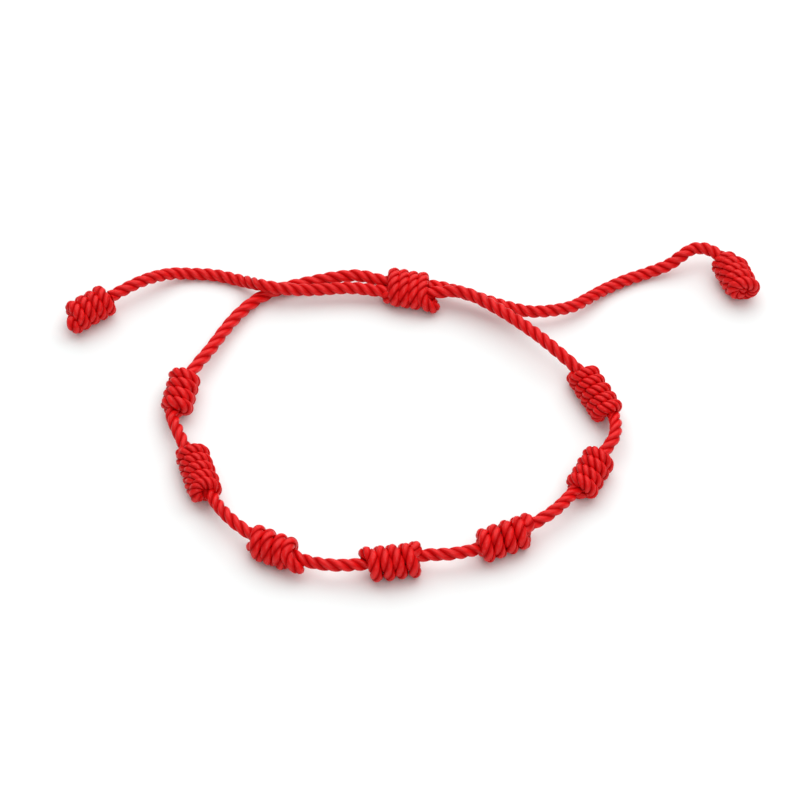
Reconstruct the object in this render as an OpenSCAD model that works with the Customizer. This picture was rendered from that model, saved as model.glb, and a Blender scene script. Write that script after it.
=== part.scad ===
// Adjustable string bracelet: one twisted cord with seven tied knots, a sliding knot and two knotted tails.
// It lies on a surface at z = 0, with the middle of its loop at the origin. Millimetres, +Z up.

/* [Cord] */
// Diameter of the twisted cord
cord_d = 1.8; // [1.5:0.05:1.8]
// Sides of the plain tube that stands for the twisted cord
cord_sides = 8; // [8:1:12]
// Usual distance between two rings of that tube
ring_step = 4.2; // [4:0.1:5.4]

/* [Loop knots] */
// Thickness of a knot tied in the loop
knot_d = 4.8; // [4.6:0.1:5]
// Turns of cord that one loop knot shows
knot_turns = 5; // [4:1:7]
// Radius of the way through a loop knot
knot_bore_r = 1.1; // [1.1:0.02:1.16]

/* [Sliding knot] */
// Width of the sliding knot, across its two strands
slide_w = 5.9; // [5.6:0.1:6]
// Height of the sliding knot
slide_h = 4.2; // [4:0.1:4.6]
// Turns of cord that the sliding knot shows
slide_turns = 5; // [4:1:7]
// Distance between the middles of the two strands inside it
lane_gap = 2; // [2:0.05:2.1]

/* [End knots] */
// Thickness of the knot on the left tail
left_end_d = 4.7; // [4.4:0.1:4.8]
// Thickness of the knot on the right tail
right_end_d = 4.8; // [4.4:0.1:4.9]
// Turns of cord that an end knot shows
end_turns = 5; // [4:1:6]

/* [Wound surface] */
// Depth of the groove between two turns of a knot
groove = 0.35; // [0.2:0.05:0.5]
// Sides of a knot's rings
knot_sides = 16; // [12:2:20]
// Rings of points along one turn
rings_per_turn = 4; // [3:1:5]

/* [Fit] */
// Gap between pieces that meet
fit_gap = 0.15; // [0.1:0.05:0.2]

/* [Hidden] */
cord_red = [0.82, 0.06, 0.08];
knot_red = [0.72, 0.05, 0.07];
// A knot's end face as a share of its full radius, and how much of a turn its rounded end takes
end_share = 0.82;
end_turn = 0.6;

// The loop's middle line, [x, y, z]: from the sliding knot's rear lane round the loop to its front lane
loop_route = [
    [2.5, 26.65, 2.1], [-0.8, 27.1, 2.1], [-5.2, 28.3, 2.1], [-11.9, 27.6, 1.4], [-17.5, 25.8, 1],
    [-21.5, 21.3, 1.4], [-25.5, 13.5, 2], [-28.1, 8.3, 2.4], [-30.3, 1.4, 2.4], [-29.3, -3, 2.8],
    [-27.9, -6.4, 2.4], [-24.8, -14, 2.5], [-22.2, -19.1, 3.3], [-18.9, -22.1, 2.9], [-12.3, -26.1, 2.4],
    [-8, -27.9, 3.15], [-3.5, -27, 2.4], [4.4, -25.8, 2.8], [8.2, -25.9, 3.2], [11.9, -24.1, 2.4],
    [18.6, -20.3, 2.7], [22, -17.8, 3], [24.8, -13.7, 2.5], [28.5, -7.2, 2.4], [30.6, -3.5, 3],
    [30.2, 1.5, 2.5], [26.3, 8.7, 2.4], [22.6, 12, 3.9], [19, 15.9, 4], [14.2, 20.5, 3.75],
    [9.8, 23.3, 3.15], [6.1, 24.1, 2.1], [2.8, 24.55, 2.1]
];
// The left tail: out of the front lane, over the loop and on to its end knot
left_route = [
    [2.2, 24.65, 2.1], [-1.2, 25.1, 2.1], [-5.8, 25.6, 2.3], [-11.5, 25.2, 2.3], [-14.8, 25, 2.65],
    [-17, 25.1, 3], [-18.6, 25.75, 2.8], [-21.3, 28.1, 1.25], [-25, 29.5, 0.95], [-29, 29.7, 1.05],
    [-31.5, 29.1, 1.6], [-35.1, 26.7, 2.65], [-39.6, 23.7, 2.45]
];
// The right tail: out of the rear lane, down to the surface, then up and round to its end knot
right_route = [
    [3.1, 26.55, 2.1], [6.5, 26.1, 2.1], [11, 24.4, 2.05], [16.2, 21.85, 2.3], [19.9, 20.85, 2.35],
    [24.9, 22.1, 1.95], [27.4, 24.1, 1.6], [29.8, 26.4, 1.1], [33.1, 28.55, 0.95], [36, 29.85, 1],
    [39.1, 30.9, 1.65], [40.9, 31.85, 2.45], [42.6, 32.9, 2.85], [44.6, 32.4, 3.25], [46.9, 30.9, 2.9]
];
// Far ends of the two end knots
left_end = [-44.75, 19.4, 2.4];
right_end = [49.3, 24.5, 2.45];

// Columns of the knot table: the loop point where the knot starts, then x and y of its body's two ends
START = 0;
BODY_A = 1;
BODY_B = 2;
loop_knots = [
    [7, [-28.65, 8.35], [-29.85, 1.3]],
    [10, [-27.5, -6.3], [-25.3, -14.15]],
    [13, [-19.2, -22.6], [-12.35, -26.1]],
    [16, [-3.45, -27.3], [4.45, -26.15]],
    [19, [11.85, -24.05], [18.85, -20.7]],
    [22, [25.4, -13.95], [28.5, -7.15]],
    [25, [29.65, 1.3], [26.3, 8.7]]
];
knot_starts = [for (row = loop_knots) row[START]];

function unit(v) = v / norm(v);

// Direction of a route at its point i
function heading(route, i) =
    let (last = len(route) - 1, a = route[max(i - 1, 0)], b = route[i], c = route[min(i + 1, last)])
    (c - a) / (norm(c - b) + norm(b - a));

// Point at share s of span i: a smooth curve, or a straight line where the span lies in a knot
function on_route(route, i, s, straight) =
    let (a = route[i], b = route[i + 1], h = norm(b - a))
    straight ? a + (b - a) * s :
    (2 * s ^ 3 - 3 * s ^ 2 + 1) * a + (s ^ 3 - 2 * s ^ 2 + s) * h * heading(route, i)
    + (3 * s ^ 2 - 2 * s ^ 3) * b + (s ^ 3 - s ^ 2) * h * heading(route, i + 1);

// Middles of the tube's rings along a route
function ring_middles(route, straight_spans = []) = [
    for (i = [0 : len(route) - 2])
        let (count = max(1, round(norm(route[i + 1] - route[i]) / ring_step)))
        let (straight = len(search(i, straight_spans)) > 0)
        for (k = [0 : count - 1]) on_route(route, i, k / count, straight),
    route[len(route) - 1]
];

// One closed ring of points square to a direction, with a radius across and a radius up
function ring(middle, direction, across_r, up_r, sides) =
    let (across = unit(cross([0, 0, 1], direction)), up = cross(direction, across))
    [for (k = [0 : sides - 1])
        middle + across * across_r * cos(360 * k / sides) + up * up_r * sin(360 * k / sides)];

// Triangles between ring a and ring b of a stack of rings
function band(a, b, sides) = [
    for (k = [0 : sides - 1])
        let (n = (k + 1) % sides)
        each [[a * sides + k, b * sides + k, b * sides + n], [a * sides + k, b * sides + n, a * sides + n]]
];

// Solid through a stack of rings, with a flat cap at each end
module capped_stack(rings, sides) {
    last = len(rings) - 1;
    polyhedron(
        points = [for (r = rings) each r],
        faces = [
            for (j = [0 : last - 1]) each band(j, j + 1, sides),
            [for (k = [0 : sides - 1]) k],
            [for (k = [sides - 1 : -1 : 0]) last * sides + k]
        ]
    );
}

// Solid through a stack of rings that closes on itself, as a knot with a way through does
module ring_stack(rings, sides) {
    count = len(rings);
    polyhedron(
        points = [for (r = rings) each r],
        faces = [for (j = [0 : count - 1]) each band(j, (j + 1) % count, sides)]
    );
}

// Plain tube along a route; its last ring is square to the way from there to the point beyond
module cord_tube(route, straight_spans = [], beyond = undef) {
    middles = ring_middles(route, straight_spans);
    last = len(middles) - 1;
    rings = [
        for (k = [0 : last])
            let (ahead = k < last ? middles[k + 1] : is_undef(beyond) ? middles[last] : beyond)
            let (behind = k < last || is_undef(beyond) ? middles[max(k - 1, 0)] : middles[last])
            ring(middles[k], unit(ahead - behind), cord_d / 2, cord_d / 2, cord_sides)
    ];
    color(cord_red) capped_stack(rings, cord_sides);
}

// Share of the full radius at a place along a knot: its ends are rounded
function end_round(place, length, pitch) =
    let (near = min(place, length - place) / (pitch * end_turn))
    1 - (1 - end_share) * max(0, 1 - near) ^ 2;

// Share of the groove's depth at a place and angle: the cord winds as a right-handed screw does
function wound(place, pitch, angle) = 1 - abs(cos(180 * (place / pitch - angle / 360)));

// The outer rings of a knot from a to b
function wound_rings(a, b, across_r, up_r, turns) =
    let (length = norm(b - a), direction = (b - a) / length, pitch = length / turns)
    let (across = unit(cross([0, 0, 1], direction)), up = cross(direction, across))
    let (count = turns * rings_per_turn)
    [for (j = [0 : count])
        let (place = length * j / count, share = end_round(place, length, pitch))
        let (dent = j == 0 || j == count ? 0 : groove)
        [for (k = [0 : knot_sides - 1])
            let (angle = 360 * k / knot_sides, deep = dent * wound(place, pitch, angle))
            a + direction * place + across * (across_r - deep) * share * cos(angle)
            + up * (up_r - deep) * share * sin(angle)]];

// A knot whose body runs from a to b, with a way through it from bore_a to bore_b
module bored_knot(a, b, across_r, up_r, turns, bore_a, bore_b, bore_across_r, bore_up_r) {
    direction = unit(b - a);
    rings = concat(
        wound_rings(a, b, across_r, up_r, turns),
        [ring(bore_b, direction, bore_across_r, bore_up_r, knot_sides)],
        [ring(bore_a, direction, bore_across_r, bore_up_r, knot_sides)]
    );
    ring_stack(rings, knot_sides);
}

module loop_knot(index) {
    row = loop_knots[index];
    // The body lies on the surface, and the cord goes through it a little beside its middle
    a = [each row[BODY_A], knot_d / 2];
    b = [each row[BODY_B], knot_d / 2];
    color(knot_red)
        bored_knot(a, b, knot_d / 2, knot_d / 2, knot_turns,
                   loop_route[row[START]], loop_route[row[START] + 1], knot_bore_r, knot_bore_r);
}

// Knot at the end of a tail: solid, a small gap past the end of the tail's tube
module end_knot(tail_end, far_end, d) {
    direction = unit(far_end - tail_end);
    color(knot_red)
        capped_stack(wound_rings(tail_end + direction * fit_gap, far_end, d / 2, d / 2, end_turns),
                     knot_sides);
}

module loop_cord() { cord_tube(loop_route, concat([0], knot_starts, [len(loop_route) - 2])); }
module knot_1() { loop_knot(0); }
module knot_2() { loop_knot(1); }
module knot_3() { loop_knot(2); }
module knot_4() { loop_knot(3); }
module knot_5() { loop_knot(4); }
module knot_6() { loop_knot(5); }
module knot_7() { loop_knot(6); }

module sliding_knot() {
    left_face = (loop_route[1] + left_route[1]) / 2;
    right_face = (right_route[1] + loop_route[len(loop_route) - 2]) / 2;
    color(knot_red)
        bored_knot(left_face, right_face, slide_w / 2, slide_h / 2, slide_turns, left_face, right_face,
                   lane_gap / 2 + knot_bore_r, knot_bore_r + fit_gap);
}

module tail_left() { cord_tube(left_route, [0], left_end); }
module end_knot_left() { end_knot(left_route[len(left_route) - 1], left_end, left_end_d); }
module tail_right() { cord_tube(right_route, [0], right_end); }
module end_knot_right() { end_knot(right_route[len(right_route) - 1], right_end, right_end_d); }

loop_cord();
knot_1();
knot_2();
knot_3();
knot_4();
knot_5();
knot_6();
knot_7();
sliding_knot();
tail_left();
end_knot_left();
tail_right();
end_knot_right();
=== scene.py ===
import math

import bpy
import numpy as np
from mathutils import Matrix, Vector


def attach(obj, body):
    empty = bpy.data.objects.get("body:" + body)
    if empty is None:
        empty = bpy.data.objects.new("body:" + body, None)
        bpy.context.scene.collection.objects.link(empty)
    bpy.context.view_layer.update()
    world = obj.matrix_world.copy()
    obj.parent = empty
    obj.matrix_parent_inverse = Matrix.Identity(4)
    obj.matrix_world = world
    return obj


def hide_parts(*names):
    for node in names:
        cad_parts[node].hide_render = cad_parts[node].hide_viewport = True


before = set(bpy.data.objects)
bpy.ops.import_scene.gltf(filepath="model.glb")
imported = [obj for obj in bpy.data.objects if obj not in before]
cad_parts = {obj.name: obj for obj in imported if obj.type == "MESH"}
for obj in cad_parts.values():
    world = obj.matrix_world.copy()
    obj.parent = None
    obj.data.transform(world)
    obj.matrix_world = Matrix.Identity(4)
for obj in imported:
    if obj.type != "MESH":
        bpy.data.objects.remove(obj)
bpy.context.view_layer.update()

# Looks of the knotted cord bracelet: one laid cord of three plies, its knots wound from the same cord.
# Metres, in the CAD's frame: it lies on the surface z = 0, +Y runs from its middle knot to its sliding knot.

MM = 0.001
UP = np.array((0.0, 0.0, 1.0))

# Cord: its thickness, the distance along it in which a ply goes once round, and how finely it is meshed.
# The loop's is longer left of its crossing, so it is given at distances along the loop.
CORD_D = 1.8 * MM
LOOP_LAY_AT = np.array((0, 19, 22, 40, 43)) * MM
LOOP_LAY = np.array((5.2, 5.2, 6.6, 6.6, 5.2)) * MM
LEFT_TAIL_LAY = 4.6 * MM
RIGHT_TAIL_LAY = 4.35 * MM
RING_STEP = 0.2 * MM
KNOT_RING_STEP = 0.12 * MM
PLIES = 3
SIDES_PER_PLY = 14
# How uneven the cord is, as a share of its radius, and how quickly that changes round it and along it
UNEVENNESS = 0.05
UNEVEN_SCALE = (900, 900, 260)

# The routes of part.scad, in millimetres. Right of the sizing knot the soft front strand lies 0.4 mm higher.
LOOP_ROUTE = [
    (2.5, 26.65, 2.1), (-0.8, 27.1, 2.1), (-5.2, 28.3, 2.1), (-11.9, 27.6, 1.4), (-17.5, 25.8, 1),
    (-21.5, 21.3, 1.4), (-25.5, 13.5, 2), (-28.1, 8.3, 2.4), (-30.3, 1.4, 2.4), (-29.3, -3, 2.8),
    (-27.9, -6.4, 2.4), (-24.8, -14, 2.5), (-22.2, -19.1, 3.3), (-18.9, -22.1, 2.9), (-12.3, -26.1, 2.4),
    (-8, -27.9, 3.15), (-3.5, -27, 2.4), (4.4, -25.8, 2.8), (8.2, -25.9, 3.2), (11.9, -24.1, 2.4),
    (18.6, -20.3, 2.7), (22, -17.8, 3), (24.8, -13.7, 2.5), (28.5, -7.2, 2.4), (30.6, -3.5, 3),
    (30.2, 1.5, 2.5), (26.3, 8.7, 2.4), (22.6, 12, 3.9), (19, 15.9, 4), (14.2, 20.5, 3.75),
    (9.8, 23.65, 3.45), (6.1, 24.4, 2.6), (2.8, 24.55, 2.1),
]
LEFT_ROUTE = [
    (2.2, 24.65, 2.1), (-1.2, 25.1, 2.1), (-5.8, 25.6, 2.3), (-11.5, 25.2, 2.3), (-14.8, 25, 2.65),
    (-17, 25.1, 3), (-18.6, 25.75, 2.8), (-21.3, 28.1, 1.25), (-25, 29.5, 0.95), (-29, 29.7, 1.05),
    (-31.5, 29.1, 1.6), (-35.1, 26.7, 2.65), (-39.6, 23.7, 2.45),
]
RIGHT_ROUTE = [
    (3.1, 26.55, 2.1), (6.5, 26.1, 2.1), (11, 24.4, 2.05), (16.2, 21.85, 2.3), (19.9, 20.85, 2.35),
    (24.9, 22.1, 1.95), (27.4, 24.1, 1.6), (29.8, 26.4, 1.1), (33.1, 28.55, 0.95), (36, 29.85, 1),
    (39.1, 30.9, 1.65), (40.9, 31.85, 2.45), (42.6, 32.9, 2.85), (44.6, 32.4, 3.25), (46.9, 30.9, 2.9),
]

# Camera of the photograph: the point it looks at, its height above the surface, its distance,
# and the width of the frame there
TARGET = Vector((1.1, 3.4, 2.6)) * MM
ELEVATION = math.radians(46)
DISTANCE = 0.8
FRAME_WIDTH = 110.4 * MM
SENSOR = 36


def make_camera():
    data = bpy.data.cameras.new("camera")
    data.sensor_width = SENSOR
    data.lens = SENSOR * DISTANCE / FRAME_WIDTH
    data.clip_start, data.clip_end = 0.05, 20
    camera = bpy.data.objects.new("camera", data)
    back = Vector((0, -math.cos(ELEVATION), math.sin(ELEVATION)))
    camera.location = TARGET + back * DISTANCE
    camera.rotation_mode = "QUATERNION"
    camera.rotation_quaternion = (-back).to_track_quat("-Z", "Y")
    bpy.context.scene.collection.objects.link(camera)
    bpy.context.scene.camera = camera


# Lines in space

def unit(v):
    return v / np.linalg.norm(v)


def distances(line):
    """How far each point is along the line."""
    return np.concatenate([[0], np.cumsum(np.linalg.norm(np.diff(line, axis=0), axis=1))])


def evenly(line, step):
    """The line again, with its points about one step apart."""
    along = distances(line)
    at = np.linspace(0, along[-1], max(2, round(along[-1] / step) + 1))
    return np.stack([np.interp(at, along, line[:, k]) for k in range(3)], axis=1)


def smooth_route(route_mm, straight_spans=()):
    """The curve that part.scad sweeps its tube along, with its points close together."""
    p = np.array(route_mm, float) * MM
    last = len(p) - 1

    def heading(i):
        before, here, after = p[max(i - 1, 0)], p[i], p[min(i + 1, last)]
        return (after - before) / (np.linalg.norm(after - here) + np.linalg.norm(here - before))

    fine = []
    for i in range(last):
        h = np.linalg.norm(p[i + 1] - p[i])
        for s in np.linspace(0, 1, max(2, round(h / RING_STEP)), endpoint=False):
            if i in straight_spans:
                fine.append(p[i] + (p[i + 1] - p[i]) * s)
            else:
                fine.append((2 * s**3 - 3 * s**2 + 1) * p[i]
                            + (s**3 - 2 * s**2 + s) * h * heading(i)
                            + (3 * s**2 - 2 * s**3) * p[i + 1]
                            + (s**3 - s**2) * h * heading(i + 1))
    fine.append(p[last])
    return evenly(np.array(fine), RING_STEP)


def soft_step(low, high, x):
    """0 below low, 1 above high, and a smooth rise between."""
    s = np.clip((x - low) / (high - low), 0, 1)
    return s * s * (3 - 2 * s)


# A knot's winding. BIGHT_TURN is the part of a turn in which the cord comes out of the knot's core.
# CORE_SHARE is how near the axis it is there, as a share of the winding's radius, and CORE_DEPTH how far in
# it ends, in cord diameters, where a row gives no core of its own. The cord stays at its full radius for
# LEAD_IN of a turn before the first turn and LEAD_OUT after the last. Turns that spread do so within
# SPREAD_OVER of a turn on each side.
BIGHT_TURN = 0.36
CORE_SHARE = 0.38
CORE_DEPTH = 1.3
LEAD_IN = 0.1
LEAD_OUT = 0.2
SPREAD_OVER = 0.3
# How uneven the turns are round the axis and along it, in waves of so many to a turn
ROUGH_R = 0.01
ROUGH_X = 0.015
WAVES = (0.31, 0.57, 0.93)
# The line's points before it is eased, and how near the surface its middle may lie, as a share of its radius
POINTS_PER_TURN = 100
POINTS_PER_BIGHT = 60
FINE_STEP = 0.1 * MM
EASE_PASSES = 12
LOWEST = 0.96


def knot_line(row, seed):
    """Middle line of a cord wound right-handed into a knot from a to b, as row says.
    It comes out of the core in a bight at a, winds its turns, and goes back into the core in a bight at b."""
    a, b = (np.array(row[key], float) * MM for key in ("a", "b"))
    across_r, up_r, wound_r = (row[key] * MM for key in ("across_r", "up_r", "wound_r"))
    along = unit(b - a)
    across = unit(np.cross(UP, along))
    up = np.cross(along, across)
    turns = row["turns"]
    spread_at, spread_by = row.get("spread", (0, 0))
    core, dive = row.get("core", (CORE_SHARE, CORE_DEPTH))
    tip = row.get("tip", 0)
    pitch = (np.linalg.norm(b - a) - 2 * wound_r) / turns
    # The turns tip about the line that the camera sees in the middle of the knot
    lean_at = math.atan2(math.sin(ELEVATION), -math.cos(ELEVATION) * along[0]) - math.pi / 2
    phases = np.random.default_rng(seed).uniform(0, 2 * math.pi, (2, len(WAVES)))

    def wave(turn, k):
        return sum(math.sin(2 * math.pi * f * turn + p) for f, p in zip(WAVES, phases[k]))

    def place(turn, share, out):
        angle = math.radians(row["first"]) + 2 * math.pi * turn
        axial = wound_r + pitch * min(max(turn, 0), turns) + out
        axial += CORD_D * spread_by * soft_step(spread_at - SPREAD_OVER, spread_at + SPREAD_OVER, turn)
        axial += CORD_D * (ROUGH_X * wave(turn, 1) - row["lean"] * math.cos(angle - lean_at) * share)
        axial += CORD_D * tip * math.sin(angle - lean_at) * share
        grow = share * (1 + ROUGH_R * wave(turn, 0))
        return (a + along * axial
                + across * (across_r - wound_r) * grow * math.cos(angle)
                + up * (up_r - wound_r) * grow * math.sin(angle))

    def bight(s, end):
        """At share s of the bight: its turn so far, its nearness to the axis and its way out along it."""
        hump = math.sin(math.pi * s) ** 2
        share = 1 - (1 - core) * soft_step(0, 1, s) + end[1] * hump
        return BIGHT_TURN * (2 * s - s * s), share, CORD_D * (end[0] * hump - dive * s**3)

    line = []
    for s in np.linspace(1, 0, POINTS_PER_BIGHT, endpoint=False):
        back, share, out = bight(s, row["end_a"])
        line.append(place(-LEAD_IN - back, share, -out))
    wound_points = round((turns + LEAD_IN + LEAD_OUT) * POINTS_PER_TURN)
    for turn in np.linspace(-LEAD_IN, turns + LEAD_OUT, wound_points):
        line.append(place(turn, 1, 0))
    for s in np.linspace(0, 1, POINTS_PER_BIGHT + 1)[1:]:
        on, share, out = bight(s, row["end_b"])
        line.append(place(turns + LEAD_OUT + on, share, out))
    line = evenly(np.array(line), FINE_STEP)
    for _ in range(EASE_PASSES):
        line[1:-1] = (line[:-2] + 2 * line[1:-1] + line[2:]) / 4
    line = evenly(line, KNOT_RING_STEP)
    line[:, 2] = np.maximum(line[:, 2], wound_r * LOWEST)
    return line


# The laid cord

def frames_along(line):
    """Directions square to the line that don't turn about it, and those square to both."""
    ahead = np.gradient(line, axis=0)
    ahead /= np.linalg.norm(ahead, axis=1)[:, None]
    across = np.zeros_like(line)
    side = unit(np.cross(ahead[0], UP if abs(ahead[0][2]) < 0.9 else np.array((1.0, 0, 0))))
    for i, t in enumerate(ahead):
        side = unit(side - t * (side @ t))
        across[i] = side
    return across, np.cross(ahead, across)


class Nodes:
    """Adds nodes to a tree. add() gives the new node, and the others give the output that is used."""

    def __init__(self, tree):
        self.tree = tree

    def add(self, kind, inputs=(), **settings):
        node = self.tree.nodes.new(kind)
        for key, value in settings.items():
            setattr(node, key, value)
        for key, value in dict(inputs).items():
            socket = node.inputs[key]
            if isinstance(value, bpy.types.NodeSocket):
                self.tree.links.new(value, socket)
            else:
                socket.default_value = value
        return node

    def math(self, operation, *values):
        return self.add("ShaderNodeMath", enumerate(values), operation=operation).outputs[0]

    def vector(self, operation, *values):
        return self.add("ShaderNodeVectorMath", enumerate(values), operation=operation).outputs[0]

    def scaled(self, vector, scale):
        return self.add("ShaderNodeVectorMath", {0: vector, "Scale": scale}, operation="SCALE").outputs[0]

    def combined(self, x, y, z):
        return self.add("ShaderNodeCombineXYZ", {0: x, 1: y, 2: z}).outputs[0]

    def ramp(self, value, low, high, top=1.0):
        """0 below low, top above high, and straight between."""
        return self.add("ShaderNodeMapRange",
                        {"Value": value, "From Min": low, "From Max": high, "To Max": top}).outputs[0]

    def mix(self, share, first, second):
        return self.add("ShaderNodeMix", {0: share, 6: first, 7: second}, data_type="RGBA").outputs[2]


def laid_cord_tree():
    """Geometry Nodes: plies laid round a line of points. Each point says its two cross directions,
    how far the plies have turned there, the cord's radius there and its place along the cord."""
    tree = bpy.data.node_groups.new("laid cord", "GeometryNodeTree")
    for name, kind in (("Line", "Geometry"), ("Plies", "Int"), ("Sides per ply", "Int"),
                       ("Groove depth", "Float"), ("Ply fullness", "Float"), ("Unevenness", "Float"),
                       ("Seed", "Float"), ("Material", "Material")):
        tree.interface.new_socket(name, in_out="INPUT", socket_type="NodeSocket" + kind)
    tree.interface.new_socket("Cord", in_out="OUTPUT", socket_type="NodeSocketGeometry")
    n = Nodes(tree)
    given = n.add("NodeGroupInput").outputs

    def told(name, kind="FLOAT"):
        return n.add("GeometryNodeInputNamedAttribute", {"Name": name}, data_type=kind).outputs[0]

    points = n.add("GeometryNodeMeshToPoints", {"Mesh": given["Line"]}).outputs[0]
    index = n.add("GeometryNodeInputIndex").outputs[0]
    rail = n.add("GeometryNodePointsToCurves", {"Points": points, "Weight": index}).outputs[0]
    sides = n.math("MULTIPLY", given["Plies"], given["Sides per ply"])
    circle = n.add("GeometryNodeCurvePrimitiveCircle", {"Resolution": sides, "Radius": 1.0}).outputs[0]
    turn_share = n.add("GeometryNodeSplineParameter").outputs["Factor"]
    round_the_cord = n.math("MULTIPLY", turn_share, 2 * math.pi)
    profile = n.add("GeometryNodeStoreNamedAttribute",
                    {"Geometry": circle, "Name": "angle", "Value": round_the_cord},
                    data_type="FLOAT", domain="POINT").outputs[0]
    tube = n.add("GeometryNodeCurveToMesh",
                 {"Curve": rail, "Profile Curve": profile, "Fill Caps": True}).outputs[0]

    angle = told("angle")
    half = n.math("MULTIPLY", n.math("MULTIPLY", angle, given["Plies"]), 0.5)
    crest = n.math("ABSOLUTE", n.math("COSINE", half))
    fullness = n.math("POWER", crest, given["Ply fullness"])
    dip = n.math("MULTIPLY", given["Groove depth"], n.math("SUBTRACT", 1.0, fullness))
    # Where a place is on its ply: round the cord as two numbers with no seam, and along it
    half_thick = told("half_thick")
    round_x = n.math("MULTIPLY", n.math("COSINE", angle), CORD_D / 2)
    round_y = n.math("MULTIPLY", n.math("SINE", angle), CORD_D / 2)
    fibre = n.combined(round_x, round_y, told("along"))
    uneven = n.add("ShaderNodeTexNoise", {"Vector": n.vector("MULTIPLY", fibre, UNEVEN_SCALE),
                                          "W": given["Seed"], "Scale": 1.0, "Detail": 2.0},
                   noise_dimensions="4D").outputs["Fac"]
    bump = n.math("MULTIPLY", n.math("SUBTRACT", uneven, 0.5), given["Unevenness"])
    reach = n.math("MULTIPLY", half_thick, n.math("ADD", n.math("SUBTRACT", 1.0, dip), bump))
    turned = n.math("ADD", angle, told("turned"))
    sideways = n.scaled(told("across", "FLOAT_VECTOR"), n.math("COSINE", turned))
    over = n.scaled(told("over", "FLOAT_VECTOR"), n.math("SINE", turned))
    out = n.scaled(n.vector("ADD", sideways, over), reach)
    place = n.vector("ADD", told("centre", "FLOAT_VECTOR"), out)

    made = n.add("GeometryNodeSetPosition", {"Geometry": tube, "Position": place}).outputs[0]
    for name, value, kind in (("fibre", fibre, "FLOAT_VECTOR"), ("crest", crest, "FLOAT")):
        made = n.add("GeometryNodeStoreNamedAttribute", {"Geometry": made, "Name": name, "Value": value},
                     data_type=kind, domain="POINT").outputs[0]
    for name in ("angle", "centre", "across", "over", "turned", "half_thick", "along"):
        made = n.add("GeometryNodeRemoveAttribute", {"Geometry": made, "Name": name}).outputs[0]
    made = n.add("GeometryNodeRealizeInstances", {"Geometry": made}).outputs[0]
    made = n.add("GeometryNodeSetMaterial", {"Geometry": made, "Material": given["Material"]}).outputs[0]
    n.add("NodeGroupOutput", {"Cord": made})
    return tree


def laid_cord(name, line, lay, material, radius=CORD_D / 2, groove=0.33, fullness=0.8, seed=1):
    """A piece of laid cord along a line, as a plain mesh. lay is one number or one for each point."""
    across, over = frames_along(line)
    along = distances(line)
    turned = np.cumsum(np.diff(along, prepend=0) * 2 * math.pi / lay)
    mesh = bpy.data.meshes.new(name + "_line")
    mesh.from_pydata(line.tolist(), [], [])
    for key, values in (("centre", line), ("across", across), ("over", over)):
        mesh.attributes.new(key, "FLOAT_VECTOR", "POINT").data.foreach_set("vector", values.ravel())
    for key, values in (("turned", turned), ("along", along), ("half_thick", np.full(len(line), radius))):
        mesh.attributes.new(key, "FLOAT", "POINT").data.foreach_set("value", values)
    holder = bpy.data.objects.new(name + "_line", mesh)
    bpy.context.scene.collection.objects.link(holder)
    modifier = holder.modifiers.new("laid cord", "NODES")
    modifier.node_group = LAID_CORD
    given = {"Plies": PLIES, "Sides per ply": SIDES_PER_PLY, "Groove depth": groove, "Ply fullness": fullness,
             "Unevenness": UNEVENNESS, "Seed": float(seed), "Material": material}
    for item in LAID_CORD.interface.items_tree:
        if item.name in given:
            modifier[item.identifier] = given[item.name]
    made = bpy.data.meshes.new_from_object(holder.evaluated_get(bpy.context.evaluated_depsgraph_get()))
    bpy.data.objects.remove(holder)
    made.name = name
    made.shade_smooth()
    piece = bpy.data.objects.new(name, made)
    bpy.context.scene.collection.objects.link(piece)
    return piece


# Materials

# Reds of the cord: a painted highlight on its crowns, from light to dark along its filaments, and painted
# shade in its grooves
CROWN_PAINTED_HIGHLIGHT = (0.92, 0.01, 0.01, 1)
LIGHT_RED = (0.745, 0.0035, 0.0045, 1)
DARK_RED = (0.5, 0.002, 0.0027, 1)
GROOVE_PAINTED_SHADE = (0.45, 0.0017, 0.0022, 1)
# How much of the painted highlight shows on the crowns
PAINTED_HIGHLIGHT_SHARE = 0.6
SHEEN = 0.42
FLOOR_COLOUR = (0.9, 0.925, 0.92, 1)
# Filaments: how fine they are across a ply and along it, how much coarser their broad streaks are, how much
# of each kind the light and dark mask has, and how high they stand
ACROSS_SCALE = 9000
ALONG_SCALE = 700
BROAD_SCALE = 0.22
FINE_SHARE, BROAD_SHARE = 0.45, 0.55
FILAMENT_HEIGHT = 0.04 * MM


def filament_group():
    """Shader group: fine filaments that run along a ply, as a height and as a light and dark mask."""
    tree = bpy.data.node_groups.new("filaments", "ShaderNodeTree")
    for name, kind in (("Fibre", "Vector"), ("Across scale", "Float"), ("Along scale", "Float")):
        tree.interface.new_socket(name, in_out="INPUT", socket_type="NodeSocket" + kind)
    for name in ("Height", "Mask"):
        tree.interface.new_socket(name, in_out="OUTPUT", socket_type="NodeSocketFloat")
    n = Nodes(tree)
    given = n.add("NodeGroupInput").outputs
    stretch = n.combined(given["Across scale"], given["Across scale"], given["Along scale"])
    where = n.vector("MULTIPLY", given["Fibre"], stretch)
    fine = n.add("ShaderNodeTexNoise",
                 {"Vector": where, "Scale": 1.0, "Detail": 3.0, "Roughness": 0.6}).outputs["Fac"]
    broad = n.add("ShaderNodeTexNoise",
                  {"Vector": n.scaled(where, BROAD_SCALE), "Scale": 1.0, "Detail": 1.0}).outputs["Fac"]
    mask = n.math("ADD", n.math("MULTIPLY", fine, FINE_SHARE), n.math("MULTIPLY", broad, BROAD_SHARE))
    n.add("NodeGroupOutput", {"Height": fine, "Mask": mask})
    return tree


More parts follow.
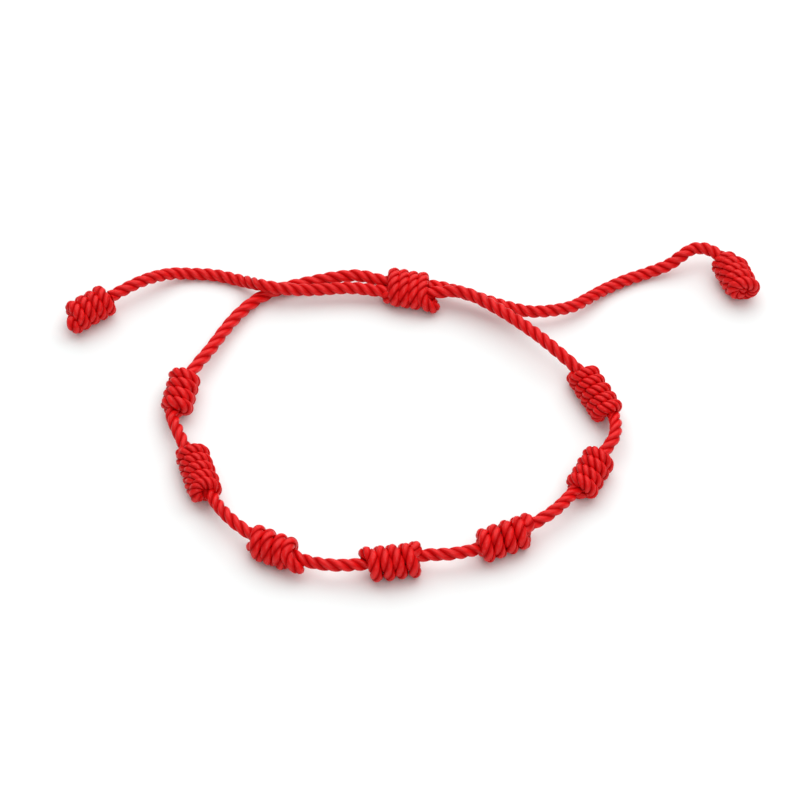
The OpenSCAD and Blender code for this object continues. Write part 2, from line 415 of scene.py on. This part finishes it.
def cord_material(name, painted_highlight_colour, light, dark, painted_shade_colour):
    """Satin nylon with painted shade in the grooves between the plies and a painted highlight on their
    crowns, with filaments along them. Its sheen is on the crowns alone."""
    material = bpy.data.materials.new(name)
    material.use_nodes = True
    tree = material.node_tree
    tree.nodes.clear()
    n = Nodes(tree)
    fibre = n.add("ShaderNodeAttribute", attribute_name="fibre").outputs["Vector"]
    crest = n.add("ShaderNodeAttribute", attribute_name="crest").outputs["Fac"]
    filaments = n.add("ShaderNodeGroup", node_tree=FILAMENTS)
    tree.links.new(fibre, filaments.inputs["Fibre"])
    filaments.inputs["Across scale"].default_value = ACROSS_SCALE
    filaments.inputs["Along scale"].default_value = ALONG_SCALE
    body = n.mix(n.ramp(filaments.outputs["Mask"], 0.35, 0.65), dark, light)
    # Painted shade darkens the grooves between the plies
    body_with_painted_shade = n.mix(n.ramp(crest, 0.0, 0.4), painted_shade_colour, body)
    # A painted highlight lightens the crowns of the plies
    colour = n.mix(n.math("MULTIPLY", n.ramp(crest, 0.6, 1.0), PAINTED_HIGHLIGHT_SHARE), body_with_painted_shade, painted_highlight_colour)
    bump = n.add("ShaderNodeBump",
                 {"Height": filaments.outputs["Height"], "Strength": 0.5, "Distance": FILAMENT_HEIGHT})
    sheen = n.ramp(crest, 0.25, 0.9, SHEEN)
    skin = n.add("ShaderNodeBsdfPrincipled",
                 {"Base Color": colour, "Roughness": 0.4, "Specular IOR Level": 0.03, "Coat Weight": sheen,
                  "Coat Roughness": 0.3, "Normal": bump.outputs[0]})
    n.add("ShaderNodeOutputMaterial", {"Surface": skin.outputs[0]})
    return material


def floor_material():
    material = bpy.data.materials.new("pale floor")
    material.use_nodes = True
    skin = material.node_tree.nodes["Principled BSDF"]
    skin.inputs["Base Color"].default_value = FLOOR_COLOUR
    skin.inputs["Roughness"].default_value = 0.9
    skin.inputs["Specular IOR Level"].default_value = 0.1
    return material


# Pieces

# The wound knots, each a row with these columns, in millimetres.
# name, node: the piece, and the node that it replaces.
# start: the route point where the cord goes in, for a knot of the loop.
# a, b: the two ends of its body.
# across_r, up_r, wound_r: its half width, its half height, and the radius of the cord that winds it.
# first, turns: the angle in degrees where its first turn begins, from the side left of the axis over the
#     top, and the turns from there.
# lean, tip: how far each turn slants as the camera sees it, and how far its near side is moved towards b, in
#     cord diameters.
# end_a, end_b: how far the bight at that end stands out along the axis, in cord diameters, and away from it.
# lay, groove: the distance in which a ply goes once round its cord, and the depth of the grooves between
#     plies as a share of wound_r.
# core: where its cord ends, in place of CORE_SHARE and CORE_DEPTH.
# spread: the turn at which its windings part, and by how many cord diameters.
LOOP_KNOTS = [
    dict(name="wound_knot_1", node="knot_1", start=7, a=(-28.6, 8.65, 2.35), b=(-29.85, 1.3, 2.35),
         across_r=2.35, up_r=2.35, wound_r=0.93, first=101, turns=3, lean=-0.2,
         end_a=(0.2, 0.2), end_b=(0.3, 0), lay=3.3, groove=0.4, tip=0.3),
    dict(name="wound_knot_2", node="knot_2", start=10, a=(-27.6, -5.9, 2.45), b=(-25.25, -14.3, 2.45),
         across_r=2.45, up_r=2.45, wound_r=0.93, first=-30, turns=4.14, lean=-0.2,
         end_a=(0.6, 0.1), end_b=(0.75, 0.2), lay=2.25, groove=0.4),
    dict(name="wound_knot_3", node="knot_3", start=13, a=(-19.2, -22.6, 2.45), b=(-13.05, -25.75, 2.45),
         across_r=2.45, up_r=2.45, wound_r=0.88, first=-12, turns=3.15, lean=0.12,
         end_a=(0.3, -0.3), end_b=(1.25, 0.1), lay=4.2, groove=0.3),
    dict(name="wound_knot_4", node="knot_4", start=16, a=(-3.45, -27.3, 2.5), b=(3.85, -26.25, 2.5),
         across_r=2.5, up_r=2.5, wound_r=0.86, first=150, turns=3.32, lean=0.06,
         end_a=(0.6, 0.25), end_b=(0.39, 0.3), lay=4.2, groove=0.3),
    dict(name="wound_knot_5", node="knot_5", start=19, a=(11.46, -24.24, 2.45), b=(18.8, -20.72, 2.45),
         across_r=2.45, up_r=2.45, wound_r=0.87, first=40, turns=3.7, lean=-0.23,
         end_a=(0.1, 0), end_b=(0.39, 0.07), lay=3.9, groove=0.3, tip=-0.25),
    dict(name="wound_knot_6", node="knot_6", start=22, a=(25.4, -13.95, 2.45), b=(28.66, -6.8, 2.45),
         across_r=2.45, up_r=2.45, wound_r=0.93, first=47, turns=3.3, lean=-0.25,
         end_a=(0.27, 0.07), end_b=(0.28, 0), lay=2.6, groove=0.4, tip=-0.25),
    dict(name="wound_knot_7", node="knot_7", start=25, a=(30, 0.53, 2.4), b=(26.08, 9.17, 2.4),
         across_r=2.4, up_r=2.4, wound_r=0.93, first=75, turns=4.26, lean=-0.23,
         end_a=(0.1, 0.2), end_b=(0.29, 0.2), lay=2.1, groove=0.4, tip=-0.3),
]
OTHER_KNOTS = [
    dict(name="sizing_knot", node="sliding_knot", a=(-1.05, 26.05, 2.35), b=(5.15, 24.95, 2.1),
         across_r=3.15, up_r=2.3, wound_r=0.88, first=-29, turns=3.25, lean=0.1,
         end_a=(0.26, 0.04), end_b=(1.1, 0.3), lay=3.4, groove=0.34),
    dict(name="left_stopper", node="end_knot_left", a=(-39.5, 23.6, 2.5), b=(-45.05, 19.15, 2.4),
         across_r=2.4, up_r=2.4, wound_r=0.9, first=9, turns=3.53, lean=-0.1,
         end_a=(0.19, 0), end_b=(0.5, 0.15), lay=2.7, groove=0.36, core=(0, 0.1), tip=0.3),
    dict(name="right_stopper", node="end_knot_right", a=(47.2, 30.75, 2.6), b=(49.4, 24.81, 2.45),
         across_r=2.5, up_r=2.45, wound_r=0.9, first=195, turns=3.55, lean=-0.25,
         end_a=(0.35, 0.1), end_b=(0.25, 0.15), lay=2.5, groove=0.36, core=(0, 0.1), spread=(3.05, 0.25)),
]
# How full the plies are where the cord is wound
WOUND_FULLNESS = 0.34


def wound_knot(row, seed, material):
    return laid_cord(row["name"], knot_line(row, seed), row["lay"] * MM, material,
                     radius=row["wound_r"] * MM, groove=row["groove"], fullness=WOUND_FULLNESS, seed=seed)


# The studio


def make_light(name, place, aim, size, power, colour=(1, 1, 1)):
    data = bpy.data.lights.new(name, "AREA")
    data.shape, data.size, data.energy, data.color = "DISK", size, power, colour
    light = bpy.data.objects.new(name, data)
    light.location = place
    light.rotation_mode = "QUATERNION"
    light.rotation_quaternion = (Vector(aim) - Vector(place)).to_track_quat("-Z", "Y")
    bpy.context.scene.collection.objects.link(light)


def make_floor():
    half = 3
    corners = [(-half, -half, 0), (half, -half, 0), (half, half, 0), (-half, half, 0)]
    mesh = bpy.data.meshes.new("floor")
    mesh.from_pydata(corners, [], [(0, 1, 2, 3)])
    mesh.materials.append(floor_material())
    floor = bpy.data.objects.new("floor", mesh)
    bpy.context.scene.collection.objects.link(floor)


def make_world(colour, strength):
    world = bpy.data.worlds.new("studio")
    world.use_nodes = True
    background = world.node_tree.nodes["Background"]
    background.inputs[0].default_value = colour
    background.inputs[1].default_value = strength
    bpy.context.scene.world = world


make_camera()
LAID_CORD = laid_cord_tree()
FILAMENTS = filament_group()
red_cord = cord_material("red cord", CROWN_PAINTED_HIGHLIGHT, LIGHT_RED, DARK_RED, GROOVE_PAINTED_SHADE)

# The cord runs straight through each knot, and through the sizing knot at each end of a line
loop_spans = [0] + [row["start"] for row in LOOP_KNOTS] + [len(LOOP_ROUTE) - 2]
loop_line = smooth_route(LOOP_ROUTE, loop_spans)
left_line = smooth_route(LEFT_ROUTE, [0])
right_line = smooth_route(RIGHT_ROUTE, [0])
loop_lay = np.interp(distances(loop_line), LOOP_LAY_AT, LOOP_LAY)
loop = laid_cord("laid_loop", loop_line, loop_lay, red_cord, seed=21)
left_tail = laid_cord("left_tail", left_line, LEFT_TAIL_LAY, red_cord, seed=22)
right_tail = laid_cord("right_tail", right_line, RIGHT_TAIL_LAY, red_cord, seed=23)
loop_knots = [wound_knot(row, seed, red_cord) for seed, row in enumerate(LOOP_KNOTS, 1)]
other_knots = [wound_knot(row, seed, red_cord) for seed, row in enumerate(OTHER_KNOTS, 11)]

for piece, node in [(loop, "loop_cord"), (left_tail, "tail_left"), (right_tail, "tail_right"),
                    *((knot, row["node"]) for knot, row in zip(other_knots, OTHER_KNOTS)),
                    *((knot, row["node"]) for knot, row in zip(loop_knots, LOOP_KNOTS))]:
    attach(piece, "root")
    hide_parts(node)

make_floor()
make_world(colour=(0.88, 1, 1, 1), strength=0.34)
make_light("key", place=(0.06, 0.42, 0.8), aim=(0, 0, 0), size=1.8, power=12.5, colour=(1.03, 1, 1))
make_light("fill", place=(0.2, -0.5, 0.6), aim=(0, 0, 0), size=0.6, power=1.8)
bpy.context.scene.view_settings.view_transform = "Standard"
